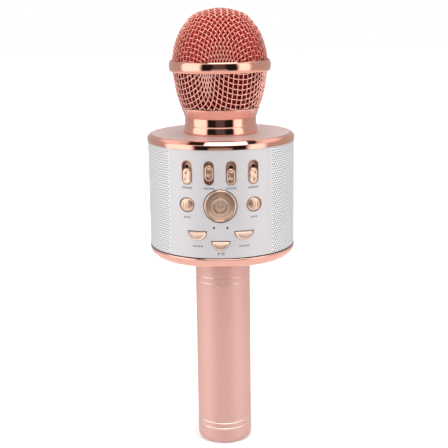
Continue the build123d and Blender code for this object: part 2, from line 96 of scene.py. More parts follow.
# Controls, as in the CAD
SLIDER_XS = (-17.25, -5.75, 5.75, 17.25)
SLIDER_RESTS = (-1.8, 0.0, -1.8, -1.8)
SLOT_Z = 162.2
SLOT_HALF_W = 2.725
SLOT_HALF_H = 6.425
KNOB_HALF_W = 2.25
KNOB_HALF_H = 4.2
KNOB_FRONT_R = 40.85
BUTTON_BACK_R = 38.2
POWER_Z = 144.9
POWER_HOLE_R = 8.9
POWER_R = 8.6
POWER_BACK_Y = -36.2
PLATE_R = 7.4
SKIP_X = 17.5
SKIP_Z = 145.1
SKIP_HOLE_R = 3.95
SKIP_R = 3.65
SKIP_DOME_R = 12.0
SKIP_PROUD = 0.85
SKIP_BACK_Y = -35.0
HALF_X = 12.2
HALF_Z = 131.1
MIDDLE_HALF_Z = 126.0
HALF_HOLE_R = 5.1
HALF_HOLE_TOP = 0.4
HALF_R = 4.85
HALF_FRONT_R = 40.75
SLIDER_MARKS_Z = 154.2
SKIP_MARKS_Z = 138.5
HALF_MARKS_Z = 123.3
PLAY_Z = 119.5
LED_X = 3.5
LED_Z = 133.3
LED_HOLE_R = 0.6
PORT_Z = 145.5
PORT_HALF_W = 12.1
PORT_HALF_H = 19.6

# Head
DOME_OUTLINE = [(26.15, 215.5), (25.3, 222.2), (22.6, 230.7), (18.6, 237.0), (12.7, 242.3), (0.0, 245.0)]
BASKET_OUTLINE = [(21.5, 192.3), (23.6, 198.6), (25.0, 206.0), (26.1, 213.7)]
BAND_LOW = 211.7
BAND_HIGH = 217.5
BAND_BORE_R = 26.35
FOAM_GAP = 1.6
FOAM_WALL = 2.4
DOME_FOAM_SPAN = (216.0, 300.0)
BASKET_FOAM_SPAN = (193.15, 213.2)
WIRE_R = 0.31
DOME_WEAVE = 0.27
BASKET_WEAVE = 0.17
DOME_PITCH = 2.4
BASKET_PITCH = 2.75
DOME_TURN = 48.0
BASKET_TURN = 30.0
DOME_SPAN = (215.6, 300.0)
BASKET_SPAN = (192.4, 213.6)

FLOOR_HALF_W = 4000

# Camera: its place before it turns about the microphone's axis, angles in degrees, and focal length
CAMERA_PLACE = (1.05, -546.0, 252.9)
CAMERA_AZIMUTH = 1.0
CAMERA_PITCH = 13.06
CAMERA_ROLL = -0.8
CAMERA_LENS = 80.31295

# Lights: name, place and size in metres, height that they are aimed at, and power in watts
LIGHTS = [
    ("key", (-0.5, -1.1, 0.9), 0.9, 0.15, 3.6),
    ("fill", (0.6, -1.1, 0.5), 0.9, 0.12, 2.8),
    ("side_left", (-1.0, -0.25, 0.45), 0.7, 0.16, 3.6),
    ("side_right", (1.0, -0.25, 0.45), 0.7, 0.16, 3.6),
]

scene = bpy.context.scene


# -------- mesh helpers

def new_piece(name, verts, faces, sharp=35.0, outward=False):
    """A mesh object from corners in millimetres, smooth except across edges sharper than an angle. outward
    turns every face of a closed shape outwards."""
    mesh = bpy.data.meshes.new(name)
    mesh.from_pydata([(x * MM, y * MM, z * MM) for x, y, z in verts], [], faces)
    mesh.validate()
    if outward:
        shape = bmesh.new()
        shape.from_mesh(mesh)
        bmesh.ops.recalc_face_normals(shape, faces=shape.faces)
        shape.to_mesh(mesh)
        shape.free()
    mesh.shade_smooth()
    mesh.set_sharp_from_angle(angle=math.radians(sharp))
    piece = bpy.data.objects.new(name, mesh)
    scene.collection.objects.link(piece)
    return piece


def place(piece, slot, replaced=(), body=ROOT, material=None):
    """Give a piece the material of its slot or the one named, put it under its body, and hide the CAD nodes
    that it stands for.
    """
    piece.data.materials.clear()
    piece.data.materials.append(M[material or slot])
    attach(piece, body)
    if replaced:
        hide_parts(*replaced)


def second_material(piece, material, chosen):
    """Give the faces that a test chooses another material."""
    piece.data.materials.append(M[material])
    for face in piece.data.polygons:
        if chosen(face):
            face.material_index = 1


def on_drum(x, z, radius):
    """A point on a round surface, in front of the axis, at distance x to the side and height z."""
    return (x, -math.sqrt(radius ** 2 - x ** 2), z)


def polar(angle, radius, z):
    """A point at an angle round the microphone, in degrees from the front."""
    a = math.radians(angle)
    return (radius * math.sin(a), -radius * math.cos(a), z)


def arc(start, middle, end, steps):
    """Points on the circle through three points of an outline, both ends included."""
    (ax, ay), (bx, by), (cx, cy) = start, middle, end
    d = 2 * (ax * (by - cy) + bx * (cy - ay) + cx * (ay - by))
    a2, b2, c2 = ax * ax + ay * ay, bx * bx + by * by, cx * cx + cy * cy
    ox = (a2 * (by - cy) + b2 * (cy - ay) + c2 * (ay - by)) / d
    oy = (a2 * (cx - bx) + b2 * (ax - cx) + c2 * (bx - ax)) / d
    radius = math.hypot(ax - ox, ay - oy)
    first = math.atan2(ay - oy, ax - ox)
    turn = math.atan2(cy - oy, cx - ox) - first
    turn = (turn + math.pi) % (2 * math.pi) - math.pi
    angles = [first + turn * i / steps for i in range(steps + 1)]
    return [(ox + radius * math.cos(a), oy + radius * math.sin(a)) for a in angles]


def rounded(outline, steps=4):
    """A closed outline whose corners (r, z, radius) are rounded. Points (r, z) stay as they are."""
    result = []
    count = len(outline)
    for i, point in enumerate(outline):
        if len(point) == 2:
            result.append(point)
            continue
        here = Vector(point[:2])
        before = (Vector(outline[i - 1][:2]) - here).normalized()
        after = (Vector(outline[(i + 1) % count][:2]) - here).normalized()
        half = before.angle(after) / 2
        reach = point[2] / math.tan(half)
        middle = here + (before + after).normalized() * point[2] / math.sin(half)
        inward = (here - middle).normalized() * point[2]
        start, end = here + before * reach, here + after * reach
        result += arc(tuple(start), tuple(middle + inward), tuple(end), steps)
    return result


def between(a, b, c, d, t):
    """A point of the smooth curve (Catmull-Rom) that goes from b to c and comes from a and leads to d."""
    bend, twist = 2 * a - 5 * b + 4 * c - d, 3 * b - a - 3 * c + d
    return 0.5 * (2 * b + (c - a) * t + bend * t ** 2 + twist * t ** 3)


def smooth_curve(points, steps=12):
    """A smooth curve that passes through every point."""
    points = [Vector(p) for p in points]
    padded = [2 * points[0] - points[1]] + points + [2 * points[-1] - points[-2]]
    curve = []
    for run in zip(padded, padded[1:], padded[2:], padded[3:]):
        curve += [between(*run, i / steps) for i in range(steps)]
    return [tuple(p) for p in curve] + [tuple(points[-1])]


def dome_curve(inset):
    """The dome's outline, moved inwards, from its open end to the crown."""
    steps = 16
    r, z = DOME_OUTLINE[-2]
    past_crown = smooth_curve(DOME_OUTLINE + [(-r, z)], steps)
    return offset_curve(past_crown[:-steps], inset)


def offset_curve(curve, inset):
    """Move a curve of (radius, height) points to its left, which is inwards if it runs upwards."""
    moved = []
    for i, (r, z) in enumerate(curve):
        r0, z0 = curve[max(i - 1, 0)]
        r1, z1 = curve[min(i + 1, len(curve) - 1)]
        length = math.hypot(r1 - r0, z1 - z0)
        moved.append((max(r - inset * (z1 - z0) / length, 0.0), z + inset * (r1 - r0) / length))
    if curve[-1][0] < 1e-6:
        moved[-1] = (0.0, curve[-1][1] - inset)
    return moved


def turned(name, outline, steps=180, sharp=35.0):
    """A closed outline of (radius, height) points turned about Z. It runs up the outside and down the inside,
    so that its faces point outwards."""
    verts, rows = [], []
    for r, z in outline:
        if r < 1e-4:
            rows.append([len(verts)] * steps)
            verts.append((0.0, 0.0, z))
            continue
        rows.append(list(range(len(verts), len(verts) + steps)))
        verts += [polar(360 * i / steps, r, z) for i in range(steps)]
    faces = []
    for low, high in zip(rows, rows[1:] + rows[:1]):
        for i in range(steps):
            j = (i + 1) % steps
            corners = [low[i], low[j], high[j], high[i]]
            face = [v for k, v in enumerate(corners) if v != corners[k - 1]]
            if len(face) > 2:
                faces.append(face)
    return new_piece(name, verts, faces, sharp)


# -------- materials

M = {}


def feed(tree, node, **values):
    """Set a node's properties and inputs. An input may be given another node's output."""
    for key, value in values.items():
        if hasattr(node, key):
            setattr(node, key, value)
            continue
        socket = node.inputs[key.replace("_", " ")]
        if isinstance(value, bpy.types.NodeSocket):
            tree.links.new(value, socket)
        else:
            socket.default_value = value
    return node


def add(tree, kind, **values):
    """A new shader node with its properties and inputs set."""
    return feed(tree, tree.nodes.new("ShaderNode" + kind), **values)


def map_range(tree, socket, low, high, to_low=0.0, to_high=1.0):
    """A number that goes from to_low to to_high as a socket goes from low to high."""
    return add(tree, "MapRange", Value=socket, From_Min=low, From_Max=high, To_Min=to_low,
               To_Max=to_high).outputs["Result"]


def maths(tree, operation, *values):
    """The result of a maths node fed by sockets or numbers."""
    node = add(tree, "Math", operation=operation)
    for value, socket in zip(values, node.inputs):
        if isinstance(value, bpy.types.NodeSocket):
            tree.links.new(value, socket)
        else:
            socket.default_value = value
    return node.outputs[0]


def vector_maths(tree, operation, socket, constant=None):
    """A vector maths node fed by a socket and, for some operations, a constant."""
    node = add(tree, "VectorMath", operation=operation)
    tree.links.new(socket, node.inputs[0])
    if constant:
        node.inputs[1].default_value = constant
    return node


def surface(name, color, metallic, roughness, scale, stretch=(1, 1, 1), *, spread, rough_spread=0.06, bump,
            bump_distance=0.02, coat=0.0, sheen=0.0):
    """Make a material with fine noise in its colour, gloss and relief, and keep it in M. scale is the grain's
    frequency per metre. Returns the node tree."""
    material = bpy.data.materials.new(name)
    M[name] = material
    material.use_nodes = True
    tree = material.node_tree
    where = add(tree, "TexCoord", name="where").outputs["Object"]
    mapping = add(tree, "Mapping", name="mapping", Vector=where, Scale=[scale * s for s in stretch])
    grain = add(tree, "TexNoise", name="grain", Vector=mapping.outputs["Vector"], Scale=1.0, Detail=4.0,
                Roughness=0.6).outputs["Fac"]
    tint = add(tree, "ValToRGB", name="tint", Fac=grain)
    for element, at, share in zip(tint.color_ramp.elements, (0.3, 0.7), (1 - spread, 1 + spread)):
        element.position = at
        element.color = [min(c * share, 1) for c in color] + [1]
    gloss = map_range(tree, grain, 0.3, 0.7, max(roughness - rough_spread, 0.02), roughness + rough_spread)
    relief = add(tree, "Bump", Height=grain, Strength=bump, Distance=bump_distance * MM)
    feed(tree, tree.nodes["Principled BSDF"], Base_Color=tint.outputs["Color"], Metallic=metallic,
         Roughness=gloss, Normal=relief.outputs["Normal"], Coat_Weight=coat, Coat_Roughness=0.05,
         Sheen_Weight=sheen, Sheen_Roughness=0.5)
    return tree


def spun_surface(name, color, roughness, centre_z, marks_per_metre=9000.0):
    """A metal face with fine circular brush marks about a centre on the front of the drum."""
    tree = surface(name, color, 1.0, roughness, 1.0, spread=0.18, rough_spread=0.1, bump=0.35,
                   bump_distance=0.03)
    centred = vector_maths(tree, "SUBTRACT", tree.nodes["where"].outputs["Object"], (0, 0, centre_z * MM))
    flat = vector_maths(tree, "MULTIPLY", centred.outputs["Vector"], (1, 0, 1)).outputs["Vector"]
    length = vector_maths(tree, "LENGTH", flat).outputs["Value"]
    rings = add(tree, "CombineXYZ", X=maths(tree, "MULTIPLY", length, marks_per_metre))
    feed(tree, tree.nodes["grain"], Vector=rings.outputs["Vector"])
    outward = vector_maths(tree, "NORMALIZE", flat).outputs["Vector"]
    feed(tree, tree.nodes["Principled BSDF"], Anisotropic=0.9, Tangent=outward)


def foam_surface(name, color, sheen):
    """Open-cell foam: small dark pores in a soft, rough mass."""
    tree = surface(name, color, 0.0, 0.95, 1400, spread=0.25, rough_spread=0.03, bump=0.8,
                   bump_distance=0.25, sheen=sheen)
    pores = add(tree, "TexVoronoi", Vector=tree.nodes["mapping"].outputs["Vector"], Scale=1.0)
    # Inputs 6 and 7 and output 2 are the mix node's colours
    shade = add(tree, "Mix", data_type="RGBA", blend_type="MULTIPLY", Factor=1.0)
    tree.links.new(tree.nodes["tint"].outputs["Color"], shade.inputs[6])
    tree.links.new(map_range(tree, pores.outputs["Distance"], 0.1, 0.55, 0.55, 1.0), shade.inputs[7])
    feed(tree, tree.nodes["Principled BSDF"], Base_Color=shade.outputs[2], Specular_IOR_Level=0.1)


surface("polished_rose_gold", (0.86, 0.42, 0.32), 1.0, 0.06, 120, spread=0.02, rough_spread=0.02, bump=0.02)
surface("soft_rose_gold", (0.92, 0.49, 0.40), 1.0, 0.22, 300, spread=0.03, bump=0.04)
surface("satin_cap_top", (0.60, 0.45, 0.425), 0.6, 0.5, 900, spread=0.03, bump=0.12)
surface("anodised_rose_gold", (0.613, 0.352, 0.311), 0.45, 0.5, 900, (1, 1, 0.15), spread=0.03,
        rough_spread=0.04, bump=0.15)
# Pale metal for the faces of the handle's grooves: a painted highlight along the grooves
surface("groove_painted_highlight", (0.92, 0.76, 0.70), 1.0, 0.35, 900, (1, 1, 4), spread=0.03, bump=0.05)
surface("silver_sleeve", (0.468, 0.446, 0.455), 0.2, 0.45, 1500, spread=0.02, bump=0.12)
# A lighter copy of the sleeve's silver for its perforated sides: painted light, brighter than the front of
# the same sleeve
surface("lit_silver_side", (0.59, 0.583, 0.586), 0.2, 0.45, 1500, spread=0.02, bump=0.12)
# Near-black for the walls of the sleeve's holes: painted shade inside the holes
surface("hole_wall_painted_shade", (0.09, 0.09, 0.095), 0.3, 0.5, 1500, spread=0.08, bump=0.05)
surface("grille_wire", (0.96, 0.51, 0.43), 0.9, 0.2, 700, spread=0.05, bump=0.05)
# A darker, redder copy of the grille wire for the dome: painted shade and a painted red cast from the foam
# behind it
surface("shaded_dome_wire", (0.76, 0.32, 0.26), 0.9, 0.25, 700, spread=0.05, bump=0.05)
# Dark maroon for the metal ring inside the basket's foot: painted shade
surface("shade_dark_ring", (0.15, 0.03, 0.022), 0.1, 0.6, 600, spread=0.06, bump=0.08)
foam_surface("dome_foam", (0.43, 0.02, 0.016), 0.1)
# The basket's foam is far darker than the dome's
foam_surface("basket_foam", (0.14, 0.005, 0.003), 0.0)
surface("satin_gold", (0.95, 0.68, 0.55), 0.85, 0.31, 300, spread=0.04, bump=0.05)
surface("gold_control", (0.76, 0.50, 0.38), 0.9, 0.29, 300, spread=0.04, bump=0.05)
# A polished, darker copy of the control gold for the power button's rim: the polish is real, the darkening is
# painted shade
surface("shaded_polished_gold", (0.64, 0.44, 0.34), 1.0, 0.13, 300, spread=0.03, bump=0.03)
# Dark bronze for the raised chevrons of the skip buttons, which are the button's own metal: painted shade
surface("chevron_painted_shade", (0.34, 0.21, 0.15), 0.7, 0.4, 600, spread=0.06, bump=0.08)
spun_surface("brushed_plate", (0.96, 0.59, 0.45), 0.28, POWER_Z)
surface("slider_tray", (0.46, 0.29, 0.22), 0.6, 0.45, 600, spread=0.06, bump=0.08)
surface("grey_print", (0.16, 0.16, 0.18), 0.0, 0.6, 900, spread=0.08, bump=0.05)
surface("light_pipe", (0.02, 0.017, 0.017), 0.0, 0.2, 300, spread=0.05, bump=0.02, coat=0.5)
surface("black_plastic", (0.025, 0.025, 0.027), 0.0, 0.45, 900, spread=0.12, bump=0.15)
surface("cone_paper", (0.035, 0.034, 0.033), 0.0, 0.8, 1200, spread=0.2, bump=0.5)
surface("ferrite", (0.06, 0.06, 0.065), 0.4, 0.5, 500, spread=0.1, bump=0.2)
surface("circuit_board", (0.01, 0.11, 0.045), 0.0, 0.3, 200, spread=0.15, bump=0.05, coat=0.4)
surface("nickel", (0.62, 0.60, 0.58), 1.0, 0.25, 500, spread=0.04, bump=0.05)
surface("cell_wrap", (0.03, 0.12, 0.30), 0.0, 0.3, 120, spread=0.06, bump=0.05, coat=0.4)
surface("capsule_body", (0.55, 0.45, 0.28), 1.0, 0.35, 500, spread=0.05, bump=0.08)
surface("soft_black", (0.02, 0.02, 0.02), 0.0, 0.75, 600, spread=0.15, bump=0.2)
surface("speaker_cloth", (0.012, 0.012, 0.013), 0.0, 0.9, 2500, spread=0.3, bump=0.6, sheen=0.1)
surface("pale_floor", (0.88, 0.88, 0.88), 0.0, 0.9, 20, spread=0.01, bump=0.01)


def dress_cad_nodes():
    """Give every CAD node the material of its slot, and the ring inside the basket's foot a dark maroon one,
    painted shade that sinks it into the dark gap under the wires.
    """
    slots = {s["node"]: s["material_slot"] for s in frame["record"]["subparts"]}
    slots["grille_base_ring"] = "shade_dark_ring"
    for name, node in frame["nodes"].items():
        node.data.materials.clear()
        node.data.materials.append(M[slots[name]])


# -------- turned pieces

def handle_barrel():
    """The handle's tube: a round closed end, two pairs of grooves whose faces are painted pale as a
    highlight, and a neck inside the drum.
    """
    outline = [(0, 0), (HANDLE_R - END_ROUND, 0)]
    corner = END_ROUND * (1 - math.sqrt(0.5))
    outline += arc((HANDLE_R - END_ROUND, 0), (HANDLE_R - corner, corner), (HANDLE_R, END_ROUND), 12)
    for z in GROOVES:
        outline += [(HANDLE_R, z - GROOVE_HALF), (HANDLE_R - GROOVE_DEPTH, z - 0.1),
                    (HANDLE_R - GROOVE_DEPTH, z + 0.1), (HANDLE_R, z + GROOVE_HALF)]
    outline += rounded([(HANDLE_R, HANDLE_TOP - 5), (HANDLE_R, HANDLE_TOP, 0.2), (NECK_R, HANDLE_TOP)])
    outline += [(NECK_R, NECK_TOP), (HANDLE_BORE_R, NECK_TOP), (HANDLE_BORE_R, HANDLE_END), (0, HANDLE_END)]
    piece = turned("handle_tube", outline, sharp=12.0)
    place(piece, "anodised_rose_gold", ["handle_barrel"])

    def in_groove(face):
        outside = face.center.xy.length / MM > HANDLE_R - GROOVE_DEPTH - 0.1
        return outside and any(abs(face.center.z / MM - z) < GROOVE_HALF for z in GROOVES)

    # The groove faces get pale metal: a painted highlight
    second_material(piece, "groove_painted_highlight", in_groove)


def bottom_cap():
    """The drum's floor: a bowl-shaped cover with a spigot inside it. The rim top and groove wall under the
    sleeve are black: partly a dark joint, partly painted shade in the gap.
    """
    low, top = HANDLE_TOP, SLEEVE_BOTTOM - 0.6
    bore, spigot_top = NECK_R + 0.1, SLEEVE_BOTTOM + 2.0
    outline = [(bore, low), (37.5, low)]
    outline += arc((37.5, low), (39.48, low + 2.1), (CAP_R, top - 0.75), 10)
    outline += [(CAP_R, top - 0.12), (CAP_R - 0.1, top), (JOINT_R, top), (JOINT_R, SLEEVE_BOTTOM)]
    outline += [(SPIGOT_R, SLEEVE_BOTTOM), (SPIGOT_R, spigot_top), (SPIGOT_BORE_R, spigot_top),
                (SPIGOT_BORE_R, low + CAP_WALL), (bore, low + CAP_WALL)]
    piece = turned("drum_floor", outline)
    place(piece, "polished_rose_gold", ["bottom_cap"], material="soft_rose_gold")

    def in_shaded_joint(face):
        corners = [piece.data.vertices[i].co for i in face.vertices]
        reach = max(c.xy.length for c in corners)
        return min(c.z for c in corners) > (top - 0.01) * MM and reach > (JOINT_R - 0.1) * MM

    # The rim top and groove wall under the sleeve are painted black: partly a dark joint, partly painted
    # shade in the gap
    second_material(piece, "black_plastic", in_shaded_joint)


def top_cap():
    """The drum's lid: a flat satin top with a polished rounded edge and a spigot inside the sleeve."""
    low, top = SLEEVE_TOP + 0.05, DRUM_TOP
    bore, spigot_low = 15.9, SLEEVE_TOP - 2.0
    outline = [(bore, top), (37.6, top)]
    outline += smooth_curve([(37.7, top), (38.6, 178.15), (39.5, 177.5), (CAP_R, 176.75), (40.42, 176.4)], 4)
    outline += [(40.43, 176.3), (40.32, low + 0.1), (CAP_R, low), (SPIGOT_R, low), (SPIGOT_R, spigot_low),
                (SPIGOT_BORE_R, spigot_low), (SPIGOT_BORE_R, top - CAP_WALL), (bore, top - CAP_WALL)]
    piece = turned("drum_lid", outline[::-1], sharp=20.0)
    place(piece, "polished_rose_gold", ["top_cap"])
    second_material(piece, "satin_cap_top",
                    lambda face: face.normal.z > 0.9999 and face.center.z > (top - 0.2) * MM)


def neck_collar():
    """The collar between drum and head: a barrel-shaped foot, a waist and a cup that holds the basket."""
    cup_low, cup_high = 187.2, 192.2
    foot = [(20.1, DRUM_TOP), (20.3, 178.6), (20.27, 179.5), (20.19, 180.5), (20.08, 181.6), (20.0, 182.25)]
    waist = [(19.55, 183.0), (19.5, 183.6), (19.5, cup_low - 0.15)]
    cup = [(19.7, cup_low, 0.1), (20.35, 189.4), (21.4, cup_high - 0.2, 0.2), (21.2, cup_high, 0.05)]
    inside = [(19.0, cup_high), (19.0, 188.2), (14.2, 188.2)]
    outline = rounded([(14.2, 172.4), (15.8, 172.4), (15.8, DRUM_TOP)] + foot + waist + cup + inside)
    piece = turned("collar", outline, sharp=25.0)
    place(piece, "polished_rose_gold", ["neck_collar"])
    second_material(piece, "soft_rose_gold",
                    lambda face: face.center.z > cup_low * MM and face.center.xy.length > 19.6 * MM)


def grille_band():
    """The ring round the head, with a tongue inside that keeps the dome and the basket apart."""
    low, high, middle = BAND_LOW, BAND_HIGH, (BAND_LOW + BAND_HIGH) / 2
    outline = [(BAND_BORE_R, low), (26.95, low)]
    outline += arc((27.3, low + 0.45), (27.7, middle), (27.3, high - 0.45), 12)
    outline += [(26.95, high), (BAND_BORE_R, high), (BAND_BORE_R, middle + 0.8), (24.9, middle + 0.8),
                (24.9, middle - 0.8), (BAND_BORE_R, middle - 0.8)]
    piece = turned("ring_band", outline, sharp=25.0)
    place(piece, "polished_rose_gold", ["grille_band"])


def foam(name, grille, span, slot, node):
    """A foam lining inside a grille's curve, between two heights, with a slightly uneven skin."""
    curve = [p for p in grille if span[0] < p[1] < span[1]]
    inner = offset_curve(curve, FOAM_WALL)
    piece = turned(name, curve + inner[::-1], 120, 60.0)
    rough = bpy.data.textures.new(name + "_lumps", "CLOUDS")
    rough.noise_scale = 0.004
    lumps = piece.modifiers.new("lumps", "DISPLACE")
    lumps.texture = rough
    lumps.strength = 0.0003
    lumps.mid_level = 1.0
    lumps.texture_coords = "GLOBAL"
    place(piece, slot, [node])


def foams():
    """The red lining of the dome, and the basket's lining in foam far darker than the dome's."""
    foam("foam_cap", dome_curve(FOAM_GAP), DOME_FOAM_SPAN, "dome_foam", "foam_dome")
    basket = offset_curve(smooth_curve(BASKET_OUTLINE), FOAM_GAP)
    foam("foam_sleeve", basket, BASKET_FOAM_SPAN, "basket_foam", "foam_basket")


# -------- woven grilles

def on_profile(profile, point):
    """The nearest point of a surface of revolution, and its outward normal. profile is an array of (r, z)."""
    x, y, z = point
    r = math.hypot(x, y)
    gaps = (profile[:, 0] - r) ** 2 + (profile[:, 1] - z) ** 2
    i = int(gaps.argmin())
    i = min(max(i, 1), len(profile) - 2)
    best = None
    for j in (i - 1, i):
        a, b = profile[j], profile[j + 1]
        along = b - a
        t = float(np.dot((r - a[0], z - a[1]), along) / np.dot(along, along))
        t = min(max(t, 0.0), 1.0) if 0 < j < len(profile) - 2 else t
        foot = a + along * t
        gap = (foot[0] - r) ** 2 + (foot[1] - z) ** 2
        if best is None or gap < best[0]:
            best = (gap, foot, along)
    _, (pr, pz), (dr, dz) = best
    length = math.hypot(dr, dz)
    outward = (dz / length, -dr / length)
    ux, uy = (x / r, y / r) if r > 1e-9 else (0.0, 0.0)
    return Vector((pr * ux, pr * uy, pz)), Vector((outward[0] * ux, outward[0] * uy, outward[1]))


def draped_net(profile, pitch, turn, count=26):
    """A woven sheet of square cells pressed over a surface of revolution: wires cross every pitch along both
    directions and only the angle between them changes. Returns {(i, j): (point, normal)}."""
    crown = Vector((0.0, 0.0, float(profile[-1][1])))
    net = {(0, 0): (crown, Vector((0, 0, 1 if profile[0][1] < crown.z else -1)))}
    lengths = np.concatenate([[0], np.cumsum(np.hypot(*np.diff(profile[::-1], axis=0).T))])
    compass = [(1, 0), (0, 1), (-1, 0), (0, -1)]
    for quarter in range(4):
        axis_i, axis_j = compass[quarter], compass[(quarter + 1) % 4]
        for k in range(1, count):
            for axis, extra in ((axis_i, 0), (axis_j, 90)):
                a = math.radians(turn + 90 * quarter + extra)
                r = float(np.interp(k * pitch, lengths, profile[::-1, 0]))
                z = float(np.interp(k * pitch, lengths, profile[::-1, 1]))
                spot = Vector((r * math.sin(a), -r * math.cos(a), z))
                net[(axis[0] * k, axis[1] * k)] = on_profile(profile, spot)
        for m in range(1, count):
            for n in range(1, count):
                key = (axis_i[0] * m + axis_j[0] * n, axis_i[1] * m + axis_j[1] * n)
                a_key = (key[0] - axis_i[0], key[1] - axis_i[1])
                b_key = (key[0] - axis_j[0], key[1] - axis_j[1])
                c_key = (a_key[0] - axis_j[0], a_key[1] - axis_j[1])
                if not all(k in net for k in (a_key, b_key, c_key)):
                    continue
                a, b, c = net[a_key][0], net[b_key][0], net[c_key][0]
                spot = a + b - c
                for _ in range(60):  # moves it until both wires are one pitch long
                    spot = on_profile(profile, spot)[0]
                    pull = (a + (spot - a).normalized() * pitch) + (b + (spot - b).normalized() * pitch)
                    spot = spot + (pull / 2 - spot) * 1.4
                spot, normal = on_profile(profile, spot)
                if max(abs((spot - end).length - pitch) for end in (a, b)) < 0.25 * pitch:
                    net[key] = (spot, normal)
    return net


def wire_paths(net, weave, steps=4):
    """The line of every wire: lists of (point, normal), passing over and under the wires that it crosses."""
    span = max(max(abs(i), abs(j)) for i, j in net)
    paths = []
    for across in (0, 1):
        for row in range(-span, span + 1):
            keys = [(k, row) if across == 0 else (row, k) for k in range(-span, span + 1)]
            run = []
            for key in keys + [None]:
                if key in net:
                    run.append(key)
                    continue
                if len(run) > 2:
                    sides = [weave * (1 - 2 * ((sum(k) + across) % 2)) for k in run]
                    paths.append(one_wire([net[k] for k in run], sides, steps))
                run = []
    return paths


def one_wire(stations, sides, steps):
    """Samples along one wire through its crossings, on alternate sides of the sheet."""
    points = [p for p, _ in stations]
    ends = [2 * points[0] - points[1]] + points + [2 * points[-1] - points[-2]]
    path = []
    for k in range(len(points) - 1):
        for i in range(steps + (k == len(points) - 2)):
            t = i / steps
            base = between(*ends[k:k + 4], t)
            normal = stations[k][1].lerp(stations[k + 1][1], t).normalized()
            lift = sides[k] * math.cos(math.pi * t)
            path.append((base + normal * lift, normal))
    return path


def clipped(path, low, high):
    """The stretches of a wire between two heights."""
    runs, run = [], []
    for point, normal in path + [(Vector((0, 0, high + 1e6)), None)]:
        if low <= point.z <= high:
            run.append((point, normal))
            continue
        if len(run) > 2:
            runs.append(run)
        run = []
    return runs


def wire_mesh(name, paths, sides=8):
    """Round wires along paths, closed at both ends."""
    verts, faces = [], []
    for path in paths:
        start = len(verts)
        for k, (point, normal) in enumerate(path):
            tangent = (path[min(k + 1, len(path) - 1)][0] - path[max(k - 1, 0)][0]).normalized()
            side = tangent.cross(normal).normalized()
            up = side.cross(tangent)
            for s in range(sides):
                a = 2 * math.pi * s / sides
                verts.append(tuple(point + (side * math.cos(a) + up * math.sin(a)) * WIRE_R))
        for k in range(len(path) - 1):
            for s in range(sides):
                t = (s + 1) % sides
                low, high = start + k * sides, start + (k + 1) * sides
                faces.append((low + s, high + s, high + t, low + t))
        faces.append(tuple(start + s for s in range(sides)))
        faces.append(tuple(start + (len(path) - 1) * sides + s for s in reversed(range(sides))))
    return new_piece(name, verts, faces, 60.0)


def woven(name, profile, pitch, turn, weave, span, material):
    """A woven grille over a profile, cut off at two heights."""
    net = draped_net(np.array(profile), pitch, turn)
    paths = [run for path in wire_paths(net, weave) for run in clipped(path, *span)]
    place(wire_mesh(name + "_weave", paths), "grille_wire", ["grille_" + name], material=material)


def dome_grille():
    """The dome is pressed from flat mesh, from its crown down to the ring."""
    # The dome's wires take the darker, redder copy of the grille wire: painted shade and painted red cast
    woven("dome", dome_curve(WIRE_R + DOME_WEAVE), DOME_PITCH, DOME_TURN, DOME_WEAVE, DOME_SPAN, "shaded_dome_wire")


def basket_grille():
    """The basket is pressed from flat mesh like the dome, the other way up, and its bottom is cut out."""
    wall = offset_curve(smooth_curve(BASKET_OUTLINE), WIRE_R + BASKET_WEAVE)
    pressed = [(19.3, 190.6), (16.0, 189.6), (0.0, 189.6)]
    profile = wall[::-1] + smooth_curve([wall[0], *pressed], 10)[1:]
    extra = [(profile[0][0] + 0.1, profile[0][1] + 3.0)]
    woven("basket", extra + profile, BASKET_PITCH, BASKET_TURN, BASKET_WEAVE, BASKET_SPAN, "grille_wire")


# -------- the drum's sleeve

